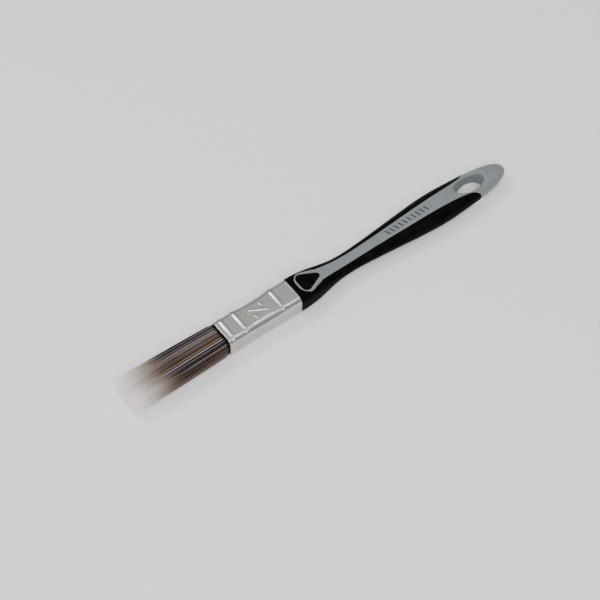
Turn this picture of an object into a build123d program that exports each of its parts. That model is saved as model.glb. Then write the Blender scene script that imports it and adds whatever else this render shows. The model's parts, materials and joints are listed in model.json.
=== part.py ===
"""Half-inch flat paint brush: soft-grip plastic handle, nickel-plated ferrule, flexing filament tuft.

The brush lies on its broad side. +X runs from the filament tips to the hanging end, +Y is the
brush's width and +Z is up. The origin is at the middle of the length and width, on the surface
that the brush lies on. All sizes are in millimetres.
"""

import os
from math import cos, pi, sin, sqrt

from build123d import *

# ---- driving dimensions ---------------------------------------------------------------------
# ferrule: a sheet-metal sleeve with rounded corners and three raised ribs
ferrule_length = 37.5
ferrule_width = 14.0
ferrule_thickness = 10.3
ferrule_corner = 3.0
sheet = 0.4
rib_height = 0.3
rib_width = 1.8
rib_places = (3.0, 9.7, 28.9)  # from the mouth; the last one locks the handle's tang
lip_radius = 0.32
seam_width = 3.2
seam_height = 0.25
mark_height = 0.15

# filament tuft
filaments_out = 49.0  # free length past the ferrule's mouth
filaments_in = 13.0  # length gripped inside the ferrule
# (distance from the mouth, extra width, extra thickness) of the free tuft against the ferrule
tuft_spread = (
    (2.5, 0.0, -0.4),
    (12.0, 0.5, 0.0),
    (30.0, 1.1, 0.1),
    (49.0, 1.9, -0.1),
)
tuft_corner = 3.0
tip_round = 2.0
flex_gap = 0.3  # clearance round each bending line of the tuft
flex_inset = 0.05  # how far the round ends sit inside the tuft's flat sides
base_flex_from_mouth = 9.0
sway_from_mouth = 23.0
tip_flex_from_mouth = 37.0

# inside the ferrule
resin_depth = 3.5
plug_width = 9.0
plug_thickness = 2.4
plug_from_mouth = 3.0
fit_gap = 0.05  # clearance of whatever sits inside the ferrule
tang_gap = 0.6  # air between the resin and the end of the tang

# handle
handle_length = 117.0  # past the ferrule
collar_proud_wide = 0.15  # handle's collar over the ferrule, on each narrow side
collar_proud_thick = 0.0  # the same on each broad side
shoulder_squareness = 4.4
neck_width = 9.4
neck_thickness = 6.0
neck_from_ferrule = 27.0
belly_width = 16.0
belly_thickness = 10.4
belly_from_end = 36.5
body_squareness = 2.35
grip_wall = 1.5  # soft grip's thickness over the core
grip_proud = 0.15  # how far the soft grip stands above the core's surface

# grey inlay of the core that shows between the two cheeks of the grip, and the pad inside it
ring_from_ferrule = 2.4
ring_width = 11.2
ring_widest_from_ferrule = 6.0
ring_fullness = 0.58  # of its half width, where its base starts to turn
inlay_neck_from_ferrule = 16.5
inlay_neck_width = 5.9
inlay_waist_width = 4.6
inlay_belly_width = 7.4
cheek_end_from_end = 17.0
pad_margin = 1.0  # grey border between the pad's base and the ring's outer edge
pad_length = 12.6  # to the point where the pad's sides would meet
pad_base_width = 11.2  # before its corners are rounded
pad_corner = 2.3
pad_bulge = 0.6  # how far its base bows towards the ferrule
pad_apex = 1.4

# hanging hole: an oval, fuller towards the handle's end
hole_length = 14.4  # at its waist, half way through the handle
hole_width = 7.0
hole_fullness = 0.1
hole_flare = 0.14  # how much each wall leans outward from the waist, per millimetre of depth
hole_end_margin = 12.9  # solid material between the hole's waist and the handle's end
hole_edge = 1.2  # rounding of its rims

# ---- sizes and places worked out from them ----------------------------------------------------
shoulder_width = ferrule_width + 2 * collar_proud_wide
shoulder_thickness = ferrule_thickness + 2 * collar_proud_thick
tuft_stations = [(out, ferrule_width + wide, ferrule_thickness + thick) for out, wide, thick in tuft_spread]
overall_length = filaments_out + ferrule_length + handle_length
thickest_handle = max(belly_thickness, shoulder_thickness) + 2 * grip_proud
axis_height = max(ferrule_thickness + 2 * rib_height, thickest_handle) / 2
x_tips = -overall_length / 2
x_mouth = x_tips + filaments_out
x_shoulder = x_mouth + ferrule_length
x_end = x_shoulder + handle_length
x_neck = x_shoulder + neck_from_ferrule
x_belly = x_end - belly_from_end
x_tang_rib = x_mouth + rib_places[-1]
x_resin = x_mouth + filaments_in
x_tang_end = x_resin + resin_depth + tang_gap
inner_width = ferrule_width - 2 * sheet
inner_thickness = ferrule_thickness - 2 * sheet
inner_corner = ferrule_corner - sheet
bead_radius = (rib_height**2 + (rib_width / 2) ** 2) / (2 * rib_height)
bead_depth = bead_radius - rib_height  # bead's centre line, below the ferrule's outside


def station(x):
    """The plane across the brush at x: its local x is +Y and its local y is +Z."""
    return Plane(origin=(x, 0, axis_height), x_dir=(0, 1, 0), z_dir=(1, 0, 0))


plan = Plane.XY.offset(axis_height)


def ease(t):
    """A blend from 0 to 1 that starts and ends level."""
    return t * t * (3 - 2 * t)


def mix(a, b, t):
    return a + (b - a) * t


def bar(width, thickness, corner, x_from, x_to):
    """A straight rounded-rectangle bar along the brush."""
    with BuildPart() as made:
        with BuildSketch(station(x_from)):
            RectangleRounded(width, thickness, corner)
        extrude(amount=x_to - x_from)
    return made.part


def ring(x, width, thickness, corner, radius):
    """A round bar of the given radius, bent once round a rounded rectangle at x."""
    with BuildSketch(station(x), mode=Mode.PRIVATE) as outline:
        RectangleRounded(width, thickness, corner)
    path = outline.sketch.face().outer_wire()
    with BuildPart() as made:
        with BuildSketch(Plane(origin=path @ 0, z_dir=path % 0)):
            Circle(radius)
        sweep(path=path)
    return made.part


def bead(x, radius):
    """The round bar that makes a rib: its centre line runs under the ferrule's outside surface."""
    drop = 2 * bead_depth
    return ring(x, ferrule_width - drop, ferrule_thickness - drop, ferrule_corner - bead_depth, radius)


# ---- ferrule ----------------------------------------------------------------------------------
with BuildPart() as ferrule:
    add(bar(ferrule_width, ferrule_thickness, ferrule_corner, x_mouth, x_shoulder))
    for place in rib_places:
        add(bead(x_mouth + place, bead_radius))
    add(bar(inner_width, inner_thickness, inner_corner, x_mouth - 1, x_shoulder + 1), mode=Mode.SUBTRACT)
    for place in rib_places:
        add(bead(x_mouth + place, bead_radius - sheet), mode=Mode.SUBTRACT)
    # rolled lip that closes on the handle
    add(ring(x_shoulder - lip_radius, ferrule_width - sheet, ferrule_thickness - sheet,
             ferrule_corner - sheet / 2, lip_radius))
    add(bar(inner_width, inner_thickness, inner_corner, x_mouth - 1, x_shoulder + 1), mode=Mode.SUBTRACT)
    # lap seam along the far narrow side
    with Locations((x_mouth + (ferrule_length - 1) / 2, (ferrule_width + seam_height) / 2 - sheet / 6,
                    axis_height - seam_width / 6)):
        Box(ferrule_length - 1, seam_height + sheet / 3, seam_width)
    # raised mark of a slanted bar between two pips, on the upper face
    with BuildSketch(Plane.XY.offset(axis_height + ferrule_thickness / 2 - sheet / 2)):
        with Locations(Location((x_shoulder - 18.0, 0), -29)):
            SlotOverall(8.4, 0.8)
        with Locations((x_shoulder - 20.6, -2.1), (x_shoulder - 15.4, 2.1)):
            Circle(0.9)
    extrude(amount=sheet / 2 + mark_height)


# ---- handle forms -------------------------------------------------------------------------------
def handle_sections():
    """(x, width, thickness, squareness) of the handle's cross-sections, from the ferrule to the end."""
    sections = []
    for t in (0, 0.17, 0.36, 0.57, 0.8, 1):
        swell = ease(max(0, (t - 0.12) / 0.88))
        sections.append((
            mix(x_shoulder, x_neck, t),
            mix(shoulder_width, neck_width, swell),
            mix(shoulder_thickness, neck_thickness, swell),
            mix(shoulder_squareness, body_squareness, ease(t)),
        ))
    for t in (0.22, 0.45, 0.7, 1):
        sections.append((
            mix(x_neck, x_belly, t),
            mix(neck_width, belly_width, ease(t)),
            mix(neck_thickness, belly_thickness, ease(t)),
            body_squareness,
        ))
    for t in (0.28, 0.52, 0.72, 0.86, 0.945, 0.985, 0.998):
        sections.append((
            mix(x_belly, x_end, t),
            belly_width * (1 - 0.21 * t) * sqrt(1 - t**4.5),
            belly_thickness * (1 - 0.27 * t) * sqrt(1 - t**10),
            body_squareness,
        ))
    return sections


def oval_points(width, thickness, squareness, count=24):
    """Points round a superellipse: squareness 2 is an ellipse, and higher values are boxier."""
    points = []
    for i in range(count):
        c = cos(2 * pi * i / count)
        s = sin(2 * pi * i / count)
        r = (abs(c) ** squareness + abs(s) ** squareness) ** (-1 / squareness)
        points.append((width / 2 * r * c, thickness / 2 * r * s))
    return points


def handle_form(growth):
    """The handle's outer form past the ferrule, larger by growth all round."""
    with BuildPart() as made:
        for x, width, thickness, squareness in handle_sections():
            if min(width, thickness) + 2 * growth > 1:
                with BuildSketch(station(x)):
                    with BuildLine():
                        around = oval_points(width + 2 * growth, thickness + 2 * growth, squareness)
                        Spline(*around, periodic=True)
                    make_face()
        loft()
    return made.part


core_form = handle_form(0)
grip_form = handle_form(grip_proud)
inner_form = handle_form(-grip_wall)
x_ring = x_shoulder + ring_from_ferrule
x_ring_wide = x_shoulder + ring_widest_from_ferrule
x_inlay_neck = x_shoulder + inlay_neck_from_ferrule
x_cheek_end = x_end - cheek_end_from_end
x_hole = x_end - hole_end_margin - hole_length / 2

# plan view of the inlay: ring, narrow stripe, and the flare where the cheeks end
with BuildPart() as inlay_prism:
    with BuildSketch(plan):
        with BuildLine():
            ring_side = Spline(
                (x_ring, 0),
                (mix(x_ring, x_ring_wide, 0.16), ring_fullness * ring_width / 2),
                (x_ring_wide, ring_width / 2),
                (mix(x_ring_wide, x_inlay_neck, 0.32), mix(ring_width, inlay_neck_width, 0.3) / 2),
                (mix(x_ring_wide, x_inlay_neck, 0.65), mix(ring_width, inlay_neck_width, 0.72) / 2),
                (x_inlay_neck, inlay_neck_width / 2),
                tangents=((0, 1), (1, -0.1)),
            )
            stripe = Spline(
                ring_side @ 1,
                (x_neck + 4, inlay_waist_width / 2),
                (mix(x_neck, x_belly, 0.5), mix(inlay_waist_width, inlay_belly_width, 0.33) / 2),
                (x_belly, inlay_belly_width / 2),
                (x_cheek_end - 8.3, inlay_belly_width / 2 + 0.7),
                (x_cheek_end - 3.6, inlay_belly_width / 2 + 1.8),
                (x_cheek_end, belly_width / 2 + 2),
                tangents=(ring_side % 1, (0.1, 1)),
            )
            Line(stripe @ 1, (x_end + 2, belly_width / 2 + 2))
            Line((x_end + 2, belly_width / 2 + 2), (x_end + 2, 0))
            Line((x_end + 2, 0), (x_ring, 0))
        make_face()
        mirror(about=Plane.XZ)
    extrude(amount=belly_thickness, both=True)

with BuildPart() as grip_prism:
    with BuildSketch(plan):
        with Locations((mix(x_shoulder, x_cheek_end, 0.5), 0)):
            Rectangle(x_cheek_end - x_shoulder, belly_width + 4)
    extrude(amount=belly_thickness, both=True)
    add(inlay_prism.part, mode=Mode.SUBTRACT)

# thumb pad: a rounded triangle that leaves a border of the ring
x_pad = x_ring + pad_margin
with BuildPart() as pad_prism:
    with BuildSketch(plan):
        with BuildLine():
            sides = Polyline(
                (x_pad + pad_bulge, -pad_base_width / 2),
                (x_pad + pad_length, 0),
                (x_pad + pad_bulge, pad_base_width / 2),
            )
            ThreePointArc(sides @ 1, (x_pad, 0), sides @ 0)
        make_face()
        fillet(vertices().sort_by(Axis.X)[:2], pad_corner)
        fillet(vertices().sort_by(Axis.X)[-1], pad_apex)
    extrude(amount=belly_thickness, both=True)


def hole_outline(growth):
    """The hanging hole's oval, larger by growth all round."""
    points = []
    for i in range(20):
        turn = 2 * pi * i / 20
        along = (hole_length / 2 + growth) * cos(turn)
        across = (hole_width / 2 + growth) * sin(turn) * (1 + hole_fullness * cos(turn))
        points.append((x_hole + along, across))
    return points


# the hole's walls lean outward from a waist half way through
hole_reach = belly_thickness / 2 + 1
with BuildPart() as hole_prism:
    for side in (1, -1):
        with BuildPart(mode=Mode.PRIVATE) as half:
            for height, growth in ((0, 0), (hole_reach, hole_reach * hole_flare)):
                with BuildSketch(Plane.XY.offset(axis_height + side * height)):
                    with BuildLine():
                        Spline(*hole_outline(growth), periodic=True)
                    make_face()
            loft(ruled=True)
        add(half.part)

# ---- handle core: tang, inlay, and the whole hanging end ---------------------------------------------
with BuildPart() as handle_core:
    add(core_form)
    add(hole_prism.part, mode=Mode.SUBTRACT)
    by_hole = [e for e in edges() if abs(e.center().X - x_hole) < hole_length / 2 + 2
               and abs(e.center().Y) < hole_width / 2 + 2]
    rims = [e for e in by_hole if abs(e.center().Z - axis_height) > belly_thickness / 4]
    fillet(rims, hole_edge)
    with BuildPart(mode=Mode.PRIVATE) as soft_room:
        add(grip_prism.part)
        add(pad_prism.part)
        add(inner_form, mode=Mode.SUBTRACT)
    add(soft_room.part, mode=Mode.SUBTRACT)
    tang_width = inner_width - 2 * fit_gap
    tang_thickness = inner_thickness - 2 * fit_gap
    add(bar(tang_width, tang_thickness, inner_corner - fit_gap, x_tang_end, x_shoulder))
    add(bead(x_tang_rib, bead_radius - sheet - fit_gap))

# ---- soft grip and thumb pads ----------------------------------------------------------------------
with BuildPart() as soft_grip:
    add(grip_form)
    add(grip_prism.part, mode=Mode.INTERSECT)
    add(inner_form, mode=Mode.SUBTRACT)

with BuildPart() as thumb_pad_front:
    add(grip_form)
    add(pad_prism.part, mode=Mode.INTERSECT)
    add(inner_form, mode=Mode.SUBTRACT)
    split(bisect_by=plan, keep=Keep.TOP)

with BuildPart() as thumb_pad_back:
    add(grip_form)
    add(pad_prism.part, mode=Mode.INTERSECT)
    add(inner_form, mode=Mode.SUBTRACT)
    split(bisect_by=plan, keep=Keep.BOTTOM)

# ---- roots of the tuft: resin, spacer plug -------------------------------------------------------------
gripped_width = inner_width - 2 * fit_gap
gripped_thickness = inner_thickness - 2 * fit_gap
gripped_corner = inner_corner - fit_gap
x_plug = x_mouth + plug_from_mouth

with BuildPart() as spacer_plug:
    add(bar(plug_width, plug_thickness, 0.4, x_plug, x_resin))

with BuildPart() as resin_block:
    add(bar(gripped_width, gripped_thickness, gripped_corner, x_resin, x_resin + resin_depth))


# ---- tuft: the whole bundle, then its four spans -----------------------------------------------------------
def tuft_form():
    with BuildPart() as made:
        add(bar(gripped_width, gripped_thickness, gripped_corner, x_mouth, x_resin))
        with BuildSketch(station(x_mouth)):
            RectangleRounded(gripped_width, gripped_thickness, gripped_corner)
        for distance, width, thickness in tuft_stations:
            with BuildSketch(station(x_mouth - distance)):
                RectangleRounded(width, thickness, tuft_corner)
        loft(ruled=True)
        end = made.faces().sort_by(Axis.X)[0]
        fillet(end.edges(), tip_round)
    return made.part


def bending_bar(distance, radius, along):
    """A round bar on a bending line: along Y for a flat bend, along Z for a sideways one."""
    turned = (90, 0, 0) if along == "Y" else (0, 0, 0)
    with BuildPart() as made:
        with Locations(Location((x_mouth - distance, 0, axis_height), turned)):
            Cylinder(radius, 3 * ferrule_width)
    return made.part


def slab(distance_from, distance_to):
    """Everything between two distances out from the mouth."""
    with BuildPart() as made:
        with Locations((x_mouth - (distance_from + distance_to) / 2, 0, axis_height)):
            Box(distance_to - distance_from, 3 * ferrule_width, 3 * ferrule_width)
    return made.part


def half_size_at(distance, column):
    """Half the tuft's width (column 1) or thickness (column 2) at a distance from the mouth."""
    for near, far in zip(tuft_stations, tuft_stations[1:]):
        if near[0] <= distance <= far[0]:
            return mix(near[column], far[column], (distance - near[0]) / (far[0] - near[0])) / 2
    return tuft_stations[-1][column] / 2


tuft = tuft_form()
flex_radius = half_size_at(base_flex_from_mouth, 2) - flex_inset
sway_radius = half_size_at(sway_from_mouth, 1) - flex_inset
tip_radius = half_size_at(tip_flex_from_mouth, 2) - flex_inset

with BuildPart() as tuft_root:
    add(tuft)
    add(slab(-filaments_in - 1, base_flex_from_mouth), mode=Mode.INTERSECT)
    add(bending_bar(base_flex_from_mouth, flex_radius + flex_gap, "Y"), mode=Mode.SUBTRACT)
    add(spacer_plug.part, mode=Mode.SUBTRACT)

with BuildPart() as tuft_base:
    add(tuft)
    with BuildPart(mode=Mode.PRIVATE) as base_room:
        add(slab(base_flex_from_mouth, sway_from_mouth))
        add(bending_bar(base_flex_from_mouth, flex_radius, "Y"))
        add(bending_bar(sway_from_mouth, sway_radius + flex_gap, "Z"), mode=Mode.SUBTRACT)
    add(base_room.part, mode=Mode.INTERSECT)

with BuildPart() as tuft_middle:
    add(tuft)
    with BuildPart(mode=Mode.PRIVATE) as middle_room:
        add(slab(sway_from_mouth, tip_flex_from_mouth))
        add(bending_bar(sway_from_mouth, sway_radius, "Z"))
        add(bending_bar(tip_flex_from_mouth, tip_radius + flex_gap, "Y"), mode=Mode.SUBTRACT)
    add(middle_room.part, mode=Mode.INTERSECT)

with BuildPart() as tuft_tip:
    add(tuft)
    with BuildPart(mode=Mode.PRIVATE) as tip_room:
        add(slab(tip_flex_from_mouth, filaments_out + 1))
        add(bending_bar(tip_flex_from_mouth, tip_radius, "Y"))
    add(tip_room.part, mode=Mode.INTERSECT)

# ---- named pieces -----------------------------------------------------------------------------------
os.makedirs("parts", exist_ok=True)
pieces = {
    "ferrule": ferrule,
    "handle_core": handle_core,
    "soft_grip": soft_grip,
    "thumb_pad_front": thumb_pad_front,
    "thumb_pad_back": thumb_pad_back,
    "resin_block": resin_block,
    "spacer_plug": spacer_plug,
    "tuft_root": tuft_root,
    "tuft_base": tuft_base,
    "tuft_middle": tuft_middle,
    "tuft_tip": tuft_tip,
}
for name, piece in pieces.items():
    piece.part.label = name
    export_step(piece.part, f"parts/{name}.step")
    box = piece.part.bounding_box()
    print(name, len(piece.part.solids()), round(piece.part.volume, 2), piece.part.is_valid,
          [round(v, 2) for v in (*box.min, *box.max)])
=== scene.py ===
"""Finishes, filaments and studio for a half-inch flat paint brush with a soft-grip handle."""

import json
import math

import bpy
import numpy as np
from bpy.props import FloatProperty, FloatVectorProperty, IntProperty, PointerProperty
from mathutils import Vector
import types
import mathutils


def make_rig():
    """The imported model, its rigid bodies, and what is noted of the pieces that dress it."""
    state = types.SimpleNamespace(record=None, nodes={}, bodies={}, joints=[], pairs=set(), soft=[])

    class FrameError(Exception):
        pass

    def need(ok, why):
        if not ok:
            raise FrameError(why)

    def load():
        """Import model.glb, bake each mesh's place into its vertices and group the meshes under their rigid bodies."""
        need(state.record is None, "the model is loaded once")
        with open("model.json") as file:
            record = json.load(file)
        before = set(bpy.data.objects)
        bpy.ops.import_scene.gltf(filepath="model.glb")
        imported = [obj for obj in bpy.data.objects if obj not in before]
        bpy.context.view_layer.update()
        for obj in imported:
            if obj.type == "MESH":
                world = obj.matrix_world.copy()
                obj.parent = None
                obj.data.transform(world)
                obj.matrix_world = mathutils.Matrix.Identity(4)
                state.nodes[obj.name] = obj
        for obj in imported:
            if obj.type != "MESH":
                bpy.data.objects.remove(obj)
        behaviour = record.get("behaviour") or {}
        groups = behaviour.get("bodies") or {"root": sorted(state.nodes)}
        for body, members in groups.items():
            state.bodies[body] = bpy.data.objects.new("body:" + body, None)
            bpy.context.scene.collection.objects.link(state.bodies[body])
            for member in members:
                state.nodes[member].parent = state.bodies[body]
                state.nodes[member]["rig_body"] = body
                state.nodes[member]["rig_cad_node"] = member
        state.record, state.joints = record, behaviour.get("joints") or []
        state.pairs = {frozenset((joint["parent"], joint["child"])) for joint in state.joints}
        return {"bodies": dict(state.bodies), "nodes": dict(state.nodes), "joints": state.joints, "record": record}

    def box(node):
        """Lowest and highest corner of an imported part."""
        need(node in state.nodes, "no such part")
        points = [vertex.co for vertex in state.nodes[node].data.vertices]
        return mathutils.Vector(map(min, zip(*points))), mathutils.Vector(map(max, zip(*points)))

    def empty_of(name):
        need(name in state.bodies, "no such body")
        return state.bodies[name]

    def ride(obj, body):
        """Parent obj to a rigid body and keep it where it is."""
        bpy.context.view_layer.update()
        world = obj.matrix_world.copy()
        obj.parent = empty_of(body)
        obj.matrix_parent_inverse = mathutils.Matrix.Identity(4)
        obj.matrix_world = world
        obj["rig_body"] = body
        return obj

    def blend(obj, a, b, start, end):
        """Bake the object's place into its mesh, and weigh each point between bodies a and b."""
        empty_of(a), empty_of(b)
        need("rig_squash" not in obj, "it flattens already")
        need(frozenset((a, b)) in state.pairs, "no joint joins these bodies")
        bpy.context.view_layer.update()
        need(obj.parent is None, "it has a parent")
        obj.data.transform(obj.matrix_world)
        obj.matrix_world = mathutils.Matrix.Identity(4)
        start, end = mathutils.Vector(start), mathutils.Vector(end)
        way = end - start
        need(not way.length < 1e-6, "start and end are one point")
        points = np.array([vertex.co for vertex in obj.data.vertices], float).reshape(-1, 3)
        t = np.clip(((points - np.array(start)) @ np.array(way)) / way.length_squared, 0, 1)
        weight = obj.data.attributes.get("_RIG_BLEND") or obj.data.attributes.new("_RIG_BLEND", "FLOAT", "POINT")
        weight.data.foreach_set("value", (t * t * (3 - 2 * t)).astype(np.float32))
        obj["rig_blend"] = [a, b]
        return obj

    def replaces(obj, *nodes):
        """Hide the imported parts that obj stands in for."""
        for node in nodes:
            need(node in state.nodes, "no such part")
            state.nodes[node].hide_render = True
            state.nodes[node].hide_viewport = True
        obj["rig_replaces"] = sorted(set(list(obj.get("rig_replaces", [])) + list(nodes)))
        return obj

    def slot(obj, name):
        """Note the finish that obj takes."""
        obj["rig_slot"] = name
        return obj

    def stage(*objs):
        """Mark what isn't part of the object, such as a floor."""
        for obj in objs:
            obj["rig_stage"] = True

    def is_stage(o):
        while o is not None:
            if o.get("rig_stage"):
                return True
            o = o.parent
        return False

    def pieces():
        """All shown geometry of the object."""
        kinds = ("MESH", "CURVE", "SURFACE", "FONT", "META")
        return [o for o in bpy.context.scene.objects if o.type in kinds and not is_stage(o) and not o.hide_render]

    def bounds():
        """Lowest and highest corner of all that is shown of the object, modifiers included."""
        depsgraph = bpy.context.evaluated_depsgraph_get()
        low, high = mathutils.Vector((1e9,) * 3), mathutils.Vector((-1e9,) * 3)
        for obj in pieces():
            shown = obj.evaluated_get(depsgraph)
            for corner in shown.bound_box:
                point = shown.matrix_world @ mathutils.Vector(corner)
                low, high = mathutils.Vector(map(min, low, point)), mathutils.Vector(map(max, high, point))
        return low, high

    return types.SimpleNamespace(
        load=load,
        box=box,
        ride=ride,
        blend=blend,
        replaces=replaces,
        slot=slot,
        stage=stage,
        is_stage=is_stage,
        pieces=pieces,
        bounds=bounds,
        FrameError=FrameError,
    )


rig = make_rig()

bl_info = {
    "name": "Flat paint brush",
    "version": (1, 0, 0),
    "blender": (4, 5, 0),
    "location": "View3D > Sidebar > Brush",
    "description": "Filaments, ferrule, soft-grip handle and studio for a half-inch flat brush",
    "category": "Object",
}

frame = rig.load()
CAD_BOX = [list(corner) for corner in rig.bounds()]
MM = 0.001


def middle(low, high):
    return (low + high) / 2


FERRULE_LOW, FERRULE_HIGH = (Vector(corner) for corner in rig.box("ferrule"))
TIP_LOW = Vector(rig.box("tuft_tip")[0])
MOUTH_X = FERRULE_LOW.x
SHOULDER_X = FERRULE_HIGH.x
AXIS_Z = middle(FERRULE_LOW.z, FERRULE_HIGH.z)
TUFT_LENGTH = MOUTH_X - TIP_LOW.x
JOINTS = {joint["name"]: joint for joint in frame["joints"]}


# ---- settings ---------------------------------------------------------------------------------


class TuftSettings(bpy.types.PropertyGroup):
    filament_spacing: FloatProperty(
        name="Filament spacing", description="Distance between neighbouring filaments at the ferrule",
        default=0.235 * MM, min=0.15 * MM, subtype="DISTANCE")
    root_diameter: FloatProperty(
        name="Root diameter", description="Thickness of a filament where it leaves the ferrule",
        default=0.23 * MM, subtype="DISTANCE")
    tip_diameter: FloatProperty(
        name="Tip diameter", description="Thickness of a filament at its tapered end",
        default=0.04 * MM, subtype="DISTANCE")
    uneven_ends: FloatProperty(
        name="Uneven ends", description="How much the filaments differ in length",
        default=0.6 * MM, subtype="DISTANCE")
    locks: IntProperty(
        name="Locks", description="Number of small locks that the tips gather into", default=170, min=1)
    streak_width: FloatProperty(
        name="Streak width", description="Mean width of a pale streak and of the dark line beside it",
        default=1.25 * MM, min=0.2 * MM, subtype="DISTANCE")
    gather: FloatProperty(
        name="Gather", description="How far the tips of a lock draw together", default=0.16, min=0, max=1)
    seed: IntProperty(name="Seed", description="Start of the random numbers", default=11)
    tip_colour_and_glow: FloatVectorProperty(
        name="Tip colour", description="Colour of the clear tapered ends",
        default=(0.86, 0.82, 0.82), size=3, subtype="COLOR", min=0, max=1)


class FerruleSettings(bpy.types.PropertyGroup):
    plate_colour: FloatVectorProperty(
        name="Plate colour", description="Nickel plate of the ferrule",
        default=(0.53, 0.515, 0.485), size=3, subtype="COLOR", min=0, max=1)
    plate_roughness: FloatProperty(
        name="Plate roughness", description="How satin the plate is", default=0.22, min=0, max=1)
    rib_height: FloatProperty(
        name="Rib height", description="How far the ribs stand out", default=0.26 * MM, subtype="DISTANCE")
    rib_width: FloatProperty(
        name="Rib width", description="Width of a rib, with its soft feet",
        default=2.7 * MM, subtype="DISTANCE")
    slack: FloatProperty(
        name="Slack corners", description="How much rounder the corners are in the middle of the long panel",
        default=0.9 * MM, subtype="DISTANCE")


class HandleSettings(bpy.types.PropertyGroup):
    core_colour: FloatVectorProperty(
        name="Core colour", description="Grey moulded plastic of the handle's core",
        default=(0.186, 0.211, 0.219), size=3, subtype="COLOR", min=0, max=1)
    print_colour: FloatVectorProperty(
        name="Tick colour", description="Row of ticks along the core's stripe",
        default=(0.055, 0.063, 0.067), size=3, subtype="COLOR", min=0, max=1)
    grip_colour: FloatVectorProperty(
        name="Grip colour", description="Soft black grip and thumb pads",
        default=(0.0022, 0.002, 0.002), size=3, subtype="COLOR", min=0, max=1)
    grip_roughness: FloatProperty(
        name="Grip roughness", description="Sheen of the soft grip", default=0.4, min=0, max=1)


class StageSettings(bpy.types.PropertyGroup):
    azimuth: FloatProperty(
        name="Azimuth", description="Camera's direction round the brush",
        default=math.radians(-36.56), subtype="ANGLE")
    elevation: FloatProperty(
        name="Elevation", description="Camera's height above the horizon",
        default=math.radians(55.2), subtype="ANGLE")
    distance: FloatProperty(
        name="Distance", description="Camera to the ferrule's shoulder", default=0.9, subtype="DISTANCE")
    lens: FloatProperty(name="Lens", description="Focal length in millimetres", default=126.18)
    air_light: FloatProperty(
        name="Air light", description="Strength of the even light from all round", default=0.74, min=0)
    floor_colour: FloatVectorProperty(
        name="Floor colour", description="Pale studio floor",
        default=(0.95, 0.95, 0.95), size=3, subtype="COLOR", min=0, max=1)


class BrushSettings(bpy.types.PropertyGroup):
    tuft: PointerProperty(type=TuftSettings)
    ferrule: PointerProperty(type=FerruleSettings)
    handle: PointerProperty(type=HandleSettings)
    stage: PointerProperty(type=StageSettings)


# ---- finishes ----------------------------------------------------------------------------------


class Value:
    """A number that varies over a surface. Arithmetic on it adds the Math nodes that work it out."""

    def __init__(self, finish, socket):
        self.finish = finish
        self.socket = socket

    def math(self, operation, first, second=0.0):
        return self.finish.node("ShaderNodeMath", {"operation": operation}, {0: first, 1: second})

    def __add__(self, other):
        return self.math("ADD", self, other)

    __radd__ = __add__

    def __sub__(self, other):
        return self.math("SUBTRACT", self, other)

    def __mul__(self, other):
        return self.math("MULTIPLY", self, other)

    __rmul__ = __mul__

    def __abs__(self):
        return self.math("ABSOLUTE", self)

    def __mod__(self, other):
        return self.math("FLOORED_MODULO", self, other)

    def __gt__(self, other):
        return self.math("GREATER_THAN", self, other)

    def __lt__(self, other):
        return self.math("LESS_THAN", self, other)

    def rising(self, low, high):
        """Goes smoothly from 0 to 1 as this value goes from low to high."""
        return self.finish.node(
            "ShaderNodeMapRange", {"interpolation_type": "SMOOTHSTEP"}, {0: self, 1: low, 2: high})


class Finish:
    """A material for one surface, built from nodes."""

    def __init__(self, name, **constants):
        self.material = bpy.data.materials.new(name)
        self.material.use_nodes = True
        self.tree = self.material.node_tree
        self.shader = self.tree.nodes["Principled BSDF"]
        for socket, value in constants.items():
            self.shader.inputs[socket.replace("_", " ")].default_value = value

    def node(self, kind, settings=None, inputs=None, output=0):
        """Adds a node. Its settings come first, then its sockets get values or links."""
        made = self.tree.nodes.new(kind)
        for name, value in (settings or {}).items():
            if name == "steps":
                self.set_steps(made.color_ramp, value)
            else:
                setattr(made, name, value)
        for key, value in (inputs or {}).items():
            if isinstance(value, Value):
                self.tree.links.new(value.socket, made.inputs[key])
            else:
                made.inputs[key].default_value = value
        return Value(self, made.outputs[output])

    @staticmethod
    def set_steps(ramp, steps):
        """Gives a ramp flat steps of colour, each from its place to the next one's."""
        ramp.interpolation = "CONSTANT"
        while len(ramp.elements) < len(steps):
            ramp.elements.new(1.0)
        for element, (place, colour) in zip(ramp.elements, steps):
            element.position = place
            element.color = (*colour, 1.0)

    def place(self):
        """The surface point in the brush's own frame, in millimetres."""
        spot = self.node("ShaderNodeTexCoord", output=3)
        return self.node("ShaderNodeVectorMath", {"operation": "SCALE"}, {0: spot, 3: 1 / MM})

    def coordinates(self, where):
        """The three numbers of a place."""
        outputs = self.node("ShaderNodeSeparateXYZ", inputs={0: where}).socket.node.outputs
        return [Value(self, output) for output in outputs]

    def noise(self, where, scale, detail=2.0, roughness=0.5, stretch=None):
        """Cloudy pattern of about 1/scale millimetres, from 0 to 1."""
        if stretch:
            where = self.node("ShaderNodeVectorMath", {"operation": "MULTIPLY"}, {0: where, 1: stretch})
        inputs = {"Vector": where, "Scale": scale, "Detail": detail, "Roughness": roughness}
        return self.node("ShaderNodeTexNoise", inputs=inputs)

    def mix(self, factor, first, second):
        """Colour between first and second."""
        return self.node(
            "ShaderNodeMix", {"data_type": "RGBA"},
            {0: factor, 6: self.colour(first), 7: self.colour(second)}, output=2)

    @staticmethod
    def colour(value):
        return value if isinstance(value, Value) else (*value[:3], 1.0)

    def feed(self, socket, value):
        self.tree.links.new(value.socket, self.shader.inputs[socket])

    def relief(self, height, distance, strength=1.0):
        """Raises the surface by height, times distance in millimetres."""
        inputs = {"Strength": strength, "Distance": distance * MM, "Height": height}
        self.feed("Normal", self.node("ShaderNodeBump", inputs=inputs))


def tone(colour, share):
    """The same colour, darker or lighter."""
    return tuple(share * part for part in colour)


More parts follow.
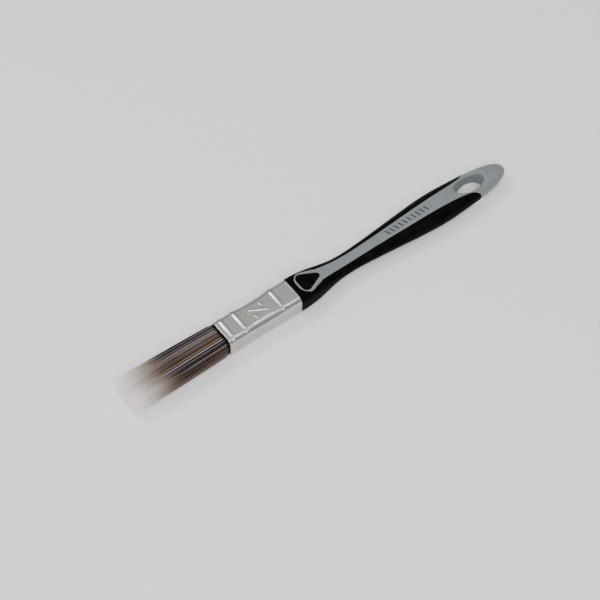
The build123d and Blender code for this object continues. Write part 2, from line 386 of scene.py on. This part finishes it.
def nickel_finish(ferrule):
    finish = Finish("nickel_plate", Metallic=1.0)
    where = finish.place()
    cloud = finish.noise(where, 0.35, detail=3.0)
    streaks = finish.noise(where, 1.0, detail=4.0, roughness=0.6, stretch=(0.25, 6.0, 6.0))
    peel = finish.noise(where, 2.6, detail=2.0)
    dull = tone(ferrule.plate_colour, 0.9)
    finish.feed("Base Color", finish.mix(cloud.rising(0.35, 0.75), ferrule.plate_colour, dull))
    rough = ferrule.plate_roughness + 0.07 * cloud.rising(0.3, 0.8) + 0.05 * streaks.rising(0.4, 0.7)
    finish.feed("Roughness", rough)
    finish.relief(streaks * 0.12 + peel, 0.012, 0.7)
    return finish.material


def tick_row(finish, where):
    """1 on a row of slanted ticks along the stripe, on the upper face, and 0 elsewhere."""
    count, pitch, width, half_length, slant = 10, 2.35, 0.95, 1.4, 0.35
    row_start = SHOULDER_X / MM + 51.0
    x, y, z = finish.coordinates(where)
    slanted = x + slant * y - row_start
    in_row = (slanted > 0) * (slanted < count * pitch) * (abs(y) < half_length)
    return (slanted % pitch < width) * in_row * (z > AXIS_Z / MM)


def core_finish(handle):
    finish = Finish("grey_core_plastic", IOR=1.49, Specular_IOR_Level=0.3)
    where = finish.place()
    speckle = finish.noise(where, 3.0, detail=3.0)
    cloud = finish.noise(where, 0.12, detail=2.0)
    shade = finish.mix(cloud.rising(0.3, 0.7), handle.core_colour, tone(handle.core_colour, 0.93))
    tick = tick_row(finish, where)
    finish.feed("Base Color", finish.mix(tick, shade, handle.print_colour))
    finish.feed("Roughness", 0.36 + 0.10 * speckle.rising(0.3, 0.7))
    finish.relief(speckle + tick * 1.5, 0.02, 0.8)
    return finish.material


def grip_finish(handle):
    finish = Finish("soft_black_grip", Specular_IOR_Level=0.025)
    where = finish.place()
    grain = finish.noise(where, 7.0, detail=2.0)
    cloud = finish.noise(where, 0.2, detail=2.0)
    dusty = tone(handle.grip_colour, 2.2)
    finish.feed("Base Color", finish.mix(cloud.rising(0.35, 0.75), handle.grip_colour, dusty))
    finish.feed("Roughness", handle.grip_roughness + 0.12 * cloud.rising(0.3, 0.7))
    finish.relief(grain, 0.03, 0.7)
    return finish.material


def resin_finish():
    finish = Finish("amber_resin", Roughness=0.2)
    where = finish.place()
    bubbles = finish.noise(where, 2.0, detail=3.0)
    finish.feed("Base Color", finish.mix(bubbles, (0.30, 0.17, 0.05), (0.42, 0.27, 0.10)))
    return finish.material


def plug_finish():
    finish = Finish("pale_wood_plug", Roughness=0.6)
    where = finish.place()
    rings = finish.noise(where, 1.0, detail=4.0, stretch=(0.15, 3.0, 3.0))
    finish.feed("Base Color", finish.mix(rings, (0.45, 0.31, 0.18), (0.62, 0.47, 0.30)))
    return finish.material


# darkest strands first; the darkest ones make the thin dark lines, partly dark filaments and partly painted shade
# between locks
FILAMENT_SHADES = (
    (0.0012, 0.0009, 0.0009), (0.0022, 0.0015, 0.0014), (0.0040, 0.0026, 0.0024), (0.0080, 0.0050, 0.0048),
    (0.0200, 0.0105, 0.0070), (0.1050, 0.0600, 0.0440), (0.1350, 0.0850, 0.0680), (0.1950, 0.1320, 0.1080),
    (0.1600, 0.1360, 0.1500), (0.2200, 0.1950, 0.2200), (0.3000, 0.2850, 0.3300), (0.2000, 0.1220, 0.0800),
    (0.1500, 0.0900, 0.0400), (0.2300, 0.1500, 0.0800), (0.3300, 0.2550, 0.2050), (0.4600, 0.3900, 0.3500),
)
DARK_SHADES = 5
SHADE_SHARES = (8, 8, 7, 6, 5, 8, 8, 7, 7, 6, 5, 7, 5, 4, 4, 3)
MOUTH_SHADOW = (0.0015, 0.0012, 0.0010)
TAN = (0.36, 0.25, 0.19)


def filament_finish(tuft):
    """Colour by strand class (across the strip of shades) and by how far out along the filament, with a painted shadow
    at the mouth and a painted glow in the pale tips.
    """
    finish = Finish("tapered_filament", Specular_IOR_Level=0.12, Emission_Strength=0.62)
    strip = finish.node("ShaderNodeUVMap", {"uv_map": "OFBake"})
    shade_place, out, _ = finish.coordinates(strip)
    count = len(FILAMENT_SHADES)
    stops = [(i / count, colour) for i, colour in enumerate(FILAMENT_SHADES)]
    body = finish.node("ShaderNodeValToRGB", {"steps": stops}, {0: shade_place})
    shaded = finish.mix(out.rising(0.018, 0.05), MOUTH_SHADOW, body)
    # each filament turns tan and then clear at its own distance
    late = (shade_place * count) % 1.0
    tan = (out - 0.16 * late).rising(0.38, 0.78)
    clear = 0.62 + 0.38 * ((shade_place * count * 7.0) % 1.0)
    fade = (out - 0.12 * late).rising(0.5, 0.94) * clear
    toned = finish.mix(tan, shaded, TAN)
    finish.feed("Base Color", finish.mix(fade, toned, tuft.tip_colour_and_glow))
    # painted glow: the pale tips emit their own colour, standing in for light shining through the clear ends
    finish.feed("Emission Color", finish.mix(fade * fade, (0, 0, 0), tuft.tip_colour_and_glow))
    finish.feed("Roughness", 0.34 + 0.2 * fade)
    return finish.material


def repaint(node, material):
    slots = frame["nodes"][node].data.materials
    slots.clear()
    slots.append(material)
    for face in frame["nodes"][node].data.polygons:
        face.use_smooth = True


# ---- filaments ---------------------------------------------------------------------------------

# (distance out from the mouth, width, thickness) of the tuft, in millimetres
TUFT_STATIONS = (
    (-1.5, 12.7, 8.9), (0.0, 12.75, 8.95), (0.8, 13.3, 9.3), (1.8, 13.75, 9.75), (3.0, 14.0, 10.0),
    (6.0, 14.2, 10.15), (12.0, 14.5, 10.3), (30.0, 15.2, 10.4), (50.0, 16.2, 10.2),
)


def tuft_size(out):
    table = np.array(TUFT_STATIONS)
    return np.interp(out, table[:, 0], table[:, 1]), np.interp(out, table[:, 0], table[:, 2])


# the rounded rectangle that the filaments fill in the ferrule, halved, and its corner
HALF_WIDTH, HALF_THICKNESS, PACK_CORNER = 6.55, 4.7, 2.55

# how much the filaments wander and differ in length: millimetres, or shares of all of them
WANDER = 0.2
WAVE = 0.05
STRAY_SHARE, STRAY_WANDER = 0.02, 2.6
RIM_FROM, RIM_SHORTER = 0.8, 0.6
LOCKS_UNEVEN = 0.35
LONGEST_PAST_TUFT, SHORTEST_SHARE = 0.9, 0.8
IN_STREAK = 0.9


def planted_roots(spacing, rng):
    """Places of the filaments across the tuft, each from -1 to 1, packed in a rounded rectangle."""
    rows = np.arange(-HALF_THICKNESS + spacing / 2, HALF_THICKNESS, spacing * 0.87)
    spots = []
    for i, row in enumerate(rows):
        first = -HALF_WIDTH + spacing / 2 + (i % 2) * spacing / 2
        for column in np.arange(first, HALF_WIDTH, spacing):
            spots.append((column, row))
    spots = np.array(spots) + rng.uniform(-0.3, 0.3, (len(spots), 2)) * spacing
    away = np.abs(spots) - (np.array((HALF_WIDTH, HALF_THICKNESS)) - PACK_CORNER)
    inside = np.hypot(*np.maximum(away, 0).T) < PACK_CORNER
    spots = spots[inside]
    return spots[:, 0] / HALF_WIDTH, spots[:, 1] / HALF_THICKNESS


class Filaments:
    """Every filament of the tuft: where it runs, how thick it is and its shade."""

    def __init__(self, tuft):
        rng = np.random.default_rng(tuft.seed)
        across, up = planted_roots(tuft.filament_spacing / MM, rng)
        count = len(across)
        self.across, self.up, self.count = across, up, count
        reach = TUFT_LENGTH / MM
        centres = rng.uniform(-0.98, 0.98, (tuft.locks, 2))
        lock = self.nearest(centres)
        self.lock = centres[lock]
        self.gather = tuft.gather * rng.uniform(0.5, 1.2, count)
        rim = np.maximum(np.abs(across), np.abs(up))
        shorter = rng.gamma(2.0, tuft.uneven_ends / MM, count)
        shorter += RIM_SHORTER * np.maximum(rim - RIM_FROM, 0) / (1 - RIM_FROM)
        lock_shorter = np.abs(rng.normal(0, LOCKS_UNEVEN, tuft.locks))[lock]
        longest = reach + LONGEST_PAST_TUFT
        self.length = np.clip(longest - shorter - lock_shorter, reach * SHORTEST_SHARE, None)
        self.wander = rng.normal(0, 1, (count, 2)) * WANDER
        strays = rng.random(count) < STRAY_SHARE
        self.wander[strays] *= STRAY_WANDER
        self.wave_phase = rng.uniform(0, 2 * np.pi, (count, 2))
        self.root_radius = tuft.root_diameter / MM / 2 * rng.uniform(0.85, 1.15, count)
        self.tip_radius = tuft.tip_diameter / MM / 2 * rng.uniform(0.7, 1.3, count)
        self.turn = rng.uniform(0, 2 * np.pi, count)
        self.shade = self.streaky_shades(tuft.streak_width / MM, rng)
        # how late a filament turns pale: the tuft's middle after its sides
        self.late = 0.05 + 0.45 * (1 - np.abs(across)) ** 0.7 + 0.45 * rng.random(count)

    def streaky_shades(self, width, rng):
        """Shade classes in streaks: a pale or brown one, then a thin dark line, all round the tuft. The dark lines are
        partly dark filaments and partly painted shade in the gaps between locks.
        """
        y, z = self.across * HALF_WIDTH, self.up * HALF_THICKNESS
        from_side, from_face = HALF_WIDTH - np.abs(y), HALF_THICKNESS - np.abs(z)
        # distance from the middle of each flat, with every flat on a stretch of its own
        round_tuft = np.where(from_face < from_side, y + 100 * np.sign(z), z + 200 * np.sign(y))
        depth = np.minimum(from_side, from_face)
        round_tuft = round_tuft + 0.3 * np.sin(depth * 2.2 + 1.3 * np.sign(y))
        shares = np.array(SHADE_SHARES) / sum(SHADE_SHARES)
        end = 220.0
        edges, classes = [-end], []
        while edges[-1] < end:
            pale = len(classes) % 2 == 0
            share = (0.57 if pale else 0.43) * width
            edges.append(edges[-1] + share * rng.uniform(0.55, 1.5))
            # dark lines take the darkest classes: dark filaments and painted shade between locks
            pool = np.arange(DARK_SHADES, len(shares)) if pale else np.arange(DARK_SHADES)
            classes.append(rng.choice(pool, p=shares[pool] / shares[pool].sum()))
        streak = np.array(classes)[np.searchsorted(edges, round_tuft) - 1]
        stray = rng.choice(len(shares), self.count, p=shares)
        return np.where(rng.random(self.count) < IN_STREAK, streak, stray)

    def nearest(self, centres):
        """For each filament, the number of the centre that it is nearest to."""
        sideways = (self.across[:, None] - centres[None, :, 0]) * 1.4
        return np.argmin(sideways**2 + (self.up[:, None] - centres[None, :, 1]) ** 2, axis=1)

    def span(self, name, begin, end, rings, material):
        """A mesh of every filament between two distances from the mouth, in millimetres."""
        reached = self.length > begin + 0.5
        kept = np.nonzero(reached)[0]
        finish = np.minimum(end, self.length[kept])
        steps = np.linspace(0, 1, rings)
        out = begin + (finish - begin)[:, None] * steps[None, :]
        far = np.clip(out / (TUFT_LENGTH / MM + 1), 0, 1)
        width, thickness = tuft_size(out)
        draw = self.gather[kept, None] * far**2.2
        across = self.across[kept, None] * (1 - draw) + self.lock[kept, 0:1] * draw
        up = self.up[kept, None] * (1 - draw) + self.lock[kept, 1:2] * draw
        drift = far**1.6
        wave = WAVE * np.sqrt(far)
        wave_y = wave * np.sin(far * 9 + self.wave_phase[kept, 0:1])
        wave_z = wave * np.sin(far * 8 + self.wave_phase[kept, 1:2])
        y = across * width / 2 + self.wander[kept, 0:1] * drift + wave_y
        z = up * thickness / 2 + self.wander[kept, 1:2] * drift + wave_z
        taper = np.clip((far - 0.3) / 0.7, 0, 1) ** 1.2
        radius = self.root_radius[kept, None] * (1 - taper) + self.tip_radius[kept, None] * taper
        sides = 4
        angle = self.turn[kept, None] + np.arange(sides)[None, :] * 2 * np.pi / sides
        points = np.empty((len(kept), rings, sides, 3))
        points[..., 0] = MOUTH_X - out[..., None] * MM
        points[..., 1] = (y[..., None] + radius[..., None] * np.cos(angle)[:, None, :]) * MM
        points[..., 2] = AXIS_Z + (z[..., None] + radius[..., None] * np.sin(angle)[:, None, :]) * MM
        number = np.arange(len(kept) * rings * sides).reshape(len(kept), rings, sides)
        following = np.roll(number, -1, axis=2)
        quads = np.stack(
            (number[:, :-1], number[:, 1:], following[:, 1:], following[:, :-1]), axis=-1).reshape(-1, 4)
        column = (self.shade[kept] + self.late[kept]) / len(FILAMENT_SHADES)
        strip = np.empty((len(kept), rings, sides, 2))
        strip[..., 0] = column[:, None, None]
        strip[..., 1] = (0.01 + 0.98 * far)[..., None]
        return mesh_piece(name, points.reshape(-1, 3), quads, strip.reshape(-1, 2)[quads], material)


def mesh_piece(name, points, quads, corners, material):
    """A smooth mesh from points in metres and four-sided faces, with shade strip places if it has them."""
    mesh = bpy.data.meshes.new(name)
    mesh.vertices.add(len(points))
    mesh.vertices.foreach_set("co", points.astype(np.float32).ravel())
    mesh.loops.add(quads.size)
    mesh.loops.foreach_set("vertex_index", quads.astype(np.int32).ravel())
    mesh.polygons.add(len(quads))
    mesh.polygons.foreach_set("loop_start", np.arange(0, quads.size, 4, dtype=np.int32))
    mesh.polygons.foreach_set("use_smooth", np.ones(len(quads), dtype=bool))
    mesh.update(calc_edges=True)
    if corners is not None:
        layer = mesh.uv_layers.new(name="OFBake")
        layer.data.foreach_set("uv", corners.astype(np.float32).ravel())
    mesh.materials.append(material)
    mesh.validate()
    piece = bpy.data.objects.new(name, mesh)
    bpy.context.scene.collection.objects.link(piece)
    return piece


class BRUSH_OT_filaments(bpy.types.Operator):
    """Plants the filaments and lets them bend with the tuft's three joints"""

    bl_idname = "brush.filaments"
    bl_label = "Filaments"

    def execute(self, context):
        tuft = context.scene.brush.tuft
        material = filament_finish(tuft)
        strands = Filaments(tuft)
        lines = [(MOUTH_X - JOINTS[name]["pos_m"][0]) / MM for name in ("base_flex", "sway", "tip_flex")]
        first = middle(lines[0], lines[1])
        second = middle(lines[1], lines[2])
        last = 2 * lines[2] - second
        past_tips = TUFT_LENGTH / MM + 1
        # name, stretch, rings along it, the bodies it bends between, the bend's stretch, the tuft's nodes
        spans = (
            ("filaments_root", (-1.5, first), 9, ("handle", "bristles_base"), (2.0, first),
             ("tuft_root", "tuft_base")),
            ("filaments_middle", (first, second), 8, ("bristles_base", "bristles_middle"), (first, second),
             ("tuft_middle",)),
            ("filaments_tip", (second, past_tips), 11, ("bristles_middle", "bristles_tip"), (second, last),
             ("tuft_tip",)),
        )
        for name, (begin, end), rings, bodies, bend, nodes in spans:
            piece = strands.span(name, begin, end, rings, material)
            bend_start, bend_end = ((MOUTH_X - out * MM, 0, AXIS_Z) for out in bend)
            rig.blend(piece, *bodies, start=bend_start, end=bend_end)
            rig.replaces(piece, *nodes)
            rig.slot(piece, "filament")
        print("filaments", strands.count)
        return {"FINISHED"}


# ---- ferrule -----------------------------------------------------------------------------------

# all in millimetres; places along the ferrule are measured from its mouth
SLEEVE_LENGTH = (SHOULDER_X - MOUTH_X) / MM
SLEEVE_WIDTH = 14.0
SLEEVE_THICKNESS = 10.3
SLEEVE_CORNER = 3.0
SHEET = 0.4
MOUTH_SHEET = 0.24
RIB_PLACES = (3.0, 9.7, 28.9)
CROWN = 0.12
SEAM_LOW, SEAM_HIGH, SEAM_HEIGHT, SEAM_EDGE = -2.25, 1.15, 0.16, 0.2
LIP_LENGTH, LIP_HEIGHT = 0.75, 0.07
MOUTH_LENGTH, MOUTH_TUCK = 0.35, 0.12
MARK_PLACE = SLEEVE_LENGTH - 18.0
MARK_HEIGHT, MARK_EDGE = 0.2, 0.16
BAR_HALF_LENGTH, BAR_HALF_WIDTH, BAR_SLANT = 3.8, 0.42, math.radians(-29)
PIP_ALONG, PIP_ACROSS, PIP_RADIUS = 2.6, 2.1, 0.85


def soft_step(low, high, values):
    """0 below low, 1 above high, and smooth between them."""
    t = np.clip((values - low) / (high - low), 0, 1)
    return t * t * (3 - 2 * t)


class Sleeve:
    """The ferrule's sheet: a rounded tube with ribs, a lap seam, a rolled lip and a raised mark."""

    def __init__(self, ferrule):
        self.ferrule = ferrule

    def outline(self, flat_count, arc_count, side_count, corner):
        """Points and outward directions round the section, for every corner radius given."""
        corner = corner[:, None]
        half_y, half_z = SLEEVE_WIDTH / 2, SLEEVE_THICKNESS / 2
        points, normals, bends = [], [], []
        quarter = np.linspace(0, np.pi / 2, arc_count + 1)[:-1]
        flats = (
            (flat_count, (1, 1), (-1, 1), (0, 1)), (side_count, (-1, 1), (-1, -1), (-1, 0)),
            (flat_count, (-1, -1), (1, -1), (0, -1)), (side_count, (1, -1), (1, 1), (1, 0)),
        )
        for i, (count, start, end, out) in enumerate(flats):
            t = np.linspace(0, 1, count + 1)[:-1][None, :]
            if out[0] == 0:
                y = (half_y - corner) * (start[0] + (end[0] - start[0]) * t)
                z = half_z * out[1] + 0 * y
            else:
                z = (half_z - corner) * (start[1] + (end[1] - start[1]) * t)
                y = half_y * out[0] + 0 * z
            points.append(np.stack((y, z), -1))
            normals.append(np.broadcast_to(np.array(out, float), points[-1].shape))
            bends.append(np.zeros(count))
            angle = np.pi / 2 * (i + 1) + quarter
            direction = np.stack((np.cos(angle), np.sin(angle)), -1)
            centre = np.stack(((half_y - corner) * end[0], (half_z - corner) * end[1]), -1)
            points.append(centre + corner[..., None] * direction[None])
            normals.append(np.broadcast_to(direction[None], points[-1].shape))
            bends.append(np.sin(2 * quarter))
        return np.concatenate(points, 1), np.concatenate(normals, 1), np.concatenate(bends)

    def corner_at(self, along):
        """The corner's radius along the ferrule: slacker in the middle of the long panel."""
        first, last = RIB_PLACES[1] + 1.5, RIB_PLACES[2] - 1.5
        t = np.clip((along - first) / (last - first), 0, 1)
        slack = self.ferrule.slack / MM * (4 * t * (1 - t)) ** 0.8
        return SLEEVE_CORNER - 0.25 + slack

    def relief(self, along, spots, bends):
        """How far the sheet stands out at each place, in millimetres."""
        along = along[:, None]
        height, width = self.ferrule.rib_height / MM, self.ferrule.rib_width / MM
        # ribs fade where the flat starts to bend and come back as a dot on the corner itself
        fade = 1 - 0.75 * np.exp(-(((bends - 0.55) / 0.25) ** 2))
        y, z = spots[..., 0], spots[..., 1]
        # the broad panels are pressed slightly crowned
        broad = np.abs(z) > SLEEVE_THICKNESS / 2 - 0.15
        out = CROWN * np.clip(1 - (y / (SLEEVE_WIDTH / 2 - SLEEVE_CORNER)) ** 2, 0, 1) * broad
        for place in RIB_PLACES:
            t = np.clip(np.abs(along - place) / (width / 2), 0, 1)
            out += height * (0.5 + 0.5 * np.cos(np.pi * t)) ** 0.85 * fade[None, :]
        on_side = y > SLEEVE_WIDTH / 2 - 0.6
        lower_edge = soft_step(SEAM_LOW, SEAM_LOW + SEAM_EDGE, z)
        upper_edge = 1 - soft_step(SEAM_HIGH - SEAM_EDGE, SEAM_HIGH, z)
        seam_end = 1 - soft_step(SLEEVE_LENGTH - 1.4, SLEEVE_LENGTH - 1.0, along)
        out += SEAM_HEIGHT * lower_edge * upper_edge * on_side * seam_end
        lip = np.clip((along - (SLEEVE_LENGTH - LIP_LENGTH)) / LIP_LENGTH, 0, 1)
        out += LIP_HEIGHT * np.sin(np.pi * lip**0.8)
        mouth = np.clip(1 - along / MOUTH_LENGTH, 0, 1)
        out -= MOUTH_TUCK * mouth**2
        out += self.mark(along, spots)
        return out

    def mark(self, along, spots):
        """A slanted bar between two pips, raised on the upper panel."""
        y, z = spots[..., 0], spots[..., 1]
        from_middle = along - MARK_PLACE
        along_bar = from_middle * math.cos(BAR_SLANT) + y * math.sin(BAR_SLANT)
        across_bar = -from_middle * math.sin(BAR_SLANT) + y * math.cos(BAR_SLANT)
        bar = np.hypot(np.maximum(np.abs(along_bar) - BAR_HALF_LENGTH, 0), across_bar) - BAR_HALF_WIDTH
        near = np.hypot(from_middle + PIP_ALONG, y + PIP_ACROSS) - PIP_RADIUS
        far = np.hypot(from_middle - PIP_ALONG, y - PIP_ACROSS) - PIP_RADIUS
        edge = np.minimum(np.minimum(bar, near), far)
        return MARK_HEIGHT * (1 - soft_step(-MARK_EDGE, MARK_EDGE, edge)) * (z > 0)

    def shell(self, material):
        """The closed sheet: its outside, its inside, and the two rims between them."""
        along = np.linspace(0, SLEEVE_LENGTH, 188)
        corner = self.corner_at(along)
        spots, normals, bends = self.outline(flat_count=64, arc_count=14, side_count=26, corner=corner)
        relief = self.relief(along, spots, bends)
        outside = spots + normals * relief[..., None]
        thin = np.full(len(along), SHEET)
        thin[0] = MOUTH_SHEET
        follow = np.minimum(relief, self.ferrule.rib_height / MM) * 0.9
        inside = spots + normals * (follow - thin[:, None])[..., None]
        rows = np.concatenate((outside, inside[::-1]), 0)
        reach = np.concatenate((along, along[::-1]))
        count = rows.shape[1]
        points = np.empty((len(reach), count, 3))
        points[..., 0] = MOUTH_X + reach[:, None] * MM
        points[..., 1] = rows[..., 0] * MM
        points[..., 2] = AXIS_Z + rows[..., 1] * MM
        number = np.arange(points.shape[0] * count).reshape(-1, count)
        beside = np.roll(number, -1, axis=1)
        after = np.roll(number, -1, axis=0)
        after_beside = np.roll(beside, -1, axis=0)
        quads = np.stack((number, beside, after_beside, after), -1).reshape(-1, 4)
        return mesh_piece("ferrule_sheet", points.reshape(-1, 3), quads, None, material)


class BRUSH_OT_ferrule(bpy.types.Operator):
    """Rolls the ferrule from nickel-plated sheet, with its ribs, seam, lip and mark"""

    bl_idname = "brush.ferrule"
    bl_label = "Ferrule"

    def execute(self, context):
        ferrule = context.scene.brush.ferrule
        sheet = Sleeve(ferrule).shell(nickel_finish(ferrule))
        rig.ride(sheet, "handle")
        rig.replaces(sheet, "ferrule")
        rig.slot(sheet, "nickel")
        return {"FINISHED"}


class BRUSH_OT_handle(bpy.types.Operator):
    """Gives the handle's core, soft grip and thumb pads their plastics"""

    bl_idname = "brush.handle"
    bl_label = "Handle"

    def execute(self, context):
        handle = context.scene.brush.handle
        repaint("handle_core", core_finish(handle))
        soft = grip_finish(handle)
        for node in ("soft_grip", "thumb_pad_front", "thumb_pad_back"):
            repaint(node, soft)
        return {"FINISHED"}


class BRUSH_OT_root_block(bpy.types.Operator):
    """Gives the resin block and the spacer plug inside the ferrule their finishes"""

    bl_idname = "brush.root_block"
    bl_label = "Resin and plug"

    def execute(self, context):
        repaint("resin_block", resin_finish())
        repaint("spacer_plug", plug_finish())
        return {"FINISHED"}


class BRUSH_OT_stage(bpy.types.Operator):
    """Sets the floor, the soft lights and the camera"""

    bl_idname = "brush.stage"
    bl_label = "Stage"

    def execute(self, context):
        stage = context.scene.brush.stage
        self.floor(stage)
        self.lights(context, stage)
        self.camera(context, stage)
        return {"FINISHED"}

    def floor(self, stage):
        finish = Finish("studio_floor", Roughness=0.9, Specular_IOR_Level=0.1)
        where = finish.place()
        paper = finish.noise(where, 0.02, detail=2.0)
        finish.feed("Base Color", finish.mix(paper, stage.floor_colour, tone(stage.floor_colour, 0.985)))
        mesh = bpy.data.meshes.new("studio_floor")
        half = 4.0
        corners = [(-half, -half, 0), (half, -half, 0), (half, half, 0), (-half, half, 0)]
        mesh.from_pydata(corners, [], [(0, 1, 2, 3)])
        mesh.materials.append(finish.material)
        floor = bpy.data.objects.new("studio_floor", mesh)
        bpy.context.scene.collection.objects.link(floor)
        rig.stage(floor)

    def lights(self, context, stage):
        world = bpy.data.worlds.new("studio_air")
        world.use_nodes = True
        tree = world.node_tree
        tree.nodes["Background"].inputs["Color"].default_value = (1, 1, 1, 1)
        # a little darker towards the horizon, as in a light tent
        direction = tree.nodes.new("ShaderNodeTexCoord")
        parts = tree.nodes.new("ShaderNodeSeparateXYZ")
        glow = tree.nodes.new("ShaderNodeMapRange")
        glow.interpolation_type = "SMOOTHSTEP"
        horizon_share = 0.45
        ends = ((1, 0.3), (2, 0.78), (3, horizon_share * stage.air_light), (4, stage.air_light))
        for socket, value in ends:
            glow.inputs[socket].default_value = value
        tree.links.new(direction.outputs["Generated"], parts.inputs[0])
        tree.links.new(parts.outputs["Z"], glow.inputs[0])
        tree.links.new(glow.outputs[0], tree.nodes["Background"].inputs["Strength"])
        context.scene.world = world
        for name, place, size, power in (
            ("soft_back", (-0.22, 0.55, 0.84), (0.28, 0.26), 3.0),
            ("soft_strip", (0.36, -0.22, 0.95), (0.5, 0.06), 1.1),
            ("front_fill", (-0.5, -0.65, 1.1), (0.6, 0.6), 12.0),
        ):
            light = bpy.data.lights.new(name, "AREA")
            light.shape = "RECTANGLE"
            light.size, light.size_y = size
            light.energy = power
            lamp = bpy.data.objects.new(name, light)
            lamp.location = place
            lamp.rotation_mode = "QUATERNION"
            lamp.rotation_quaternion = (-Vector(place)).to_track_quat("-Z", "Y")
            context.scene.collection.objects.link(lamp)

    def camera(self, context, stage):
        turn, rise = stage.azimuth, stage.elevation
        back = Vector((math.sin(turn) * math.cos(rise), -math.cos(turn) * math.cos(rise), math.sin(rise)))
        aim = Vector((SHOULDER_X, 0, AXIS_Z))
        data = bpy.data.cameras.new("camera")
        data.sensor_width = 36.0
        data.lens = stage.lens
        data.shift_x = 0.0122
        data.shift_y = -0.0074
        data.clip_start = 0.01
        camera = bpy.data.objects.new("camera", data)
        camera.location = aim + back * stage.distance
        camera.rotation_mode = "QUATERNION"
        camera.rotation_quaternion = (-back).to_track_quat("-Z", "Y")
        context.scene.collection.objects.link(camera)
        context.scene.camera = camera


class BRUSH_PT_sidebar(bpy.types.Panel):
    """Lists the brush's pieces and their settings"""

    bl_label = "Flat brush"
    bl_idname = "BRUSH_PT_sidebar"
    bl_space_type = "VIEW_3D"
    bl_region_type = "UI"
    bl_category = "Brush"

    def draw(self, context):
        settings = context.scene.brush
        for operator, group in (
            (BRUSH_OT_filaments, settings.tuft), (BRUSH_OT_ferrule, settings.ferrule),
            (BRUSH_OT_handle, settings.handle), (BRUSH_OT_root_block, None), (BRUSH_OT_stage, settings.stage),
        ):
            box = self.layout.box()
            box.operator(operator.bl_idname)
            for name in group.bl_rna.properties.keys() if group else ():
                if name not in ("rna_type", "name"):
                    box.prop(group, name)


CLASSES = (
    TuftSettings, FerruleSettings, HandleSettings, StageSettings, BrushSettings,
    BRUSH_OT_filaments, BRUSH_OT_ferrule, BRUSH_OT_handle, BRUSH_OT_root_block, BRUSH_OT_stage,
    BRUSH_PT_sidebar,
)


def register():
    for item in CLASSES:
        bpy.utils.register_class(item)
    bpy.types.Scene.brush = PointerProperty(type=BrushSettings)


def unregister():
    del bpy.types.Scene.brush
    for item in reversed(CLASSES):
        bpy.utils.unregister_class(item)


def main():
    register()
    bpy.ops.brush.stage()
    bpy.ops.brush.filaments()
    bpy.ops.brush.ferrule()
    bpy.ops.brush.handle()
    bpy.ops.brush.root_block()
    boxes = {"cad": CAD_BOX, "visual": [list(corner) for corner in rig.bounds()]}
    with open("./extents.json", "w") as handle:
        json.dump(boxes, handle)


if __name__ == "__main__":
    main()
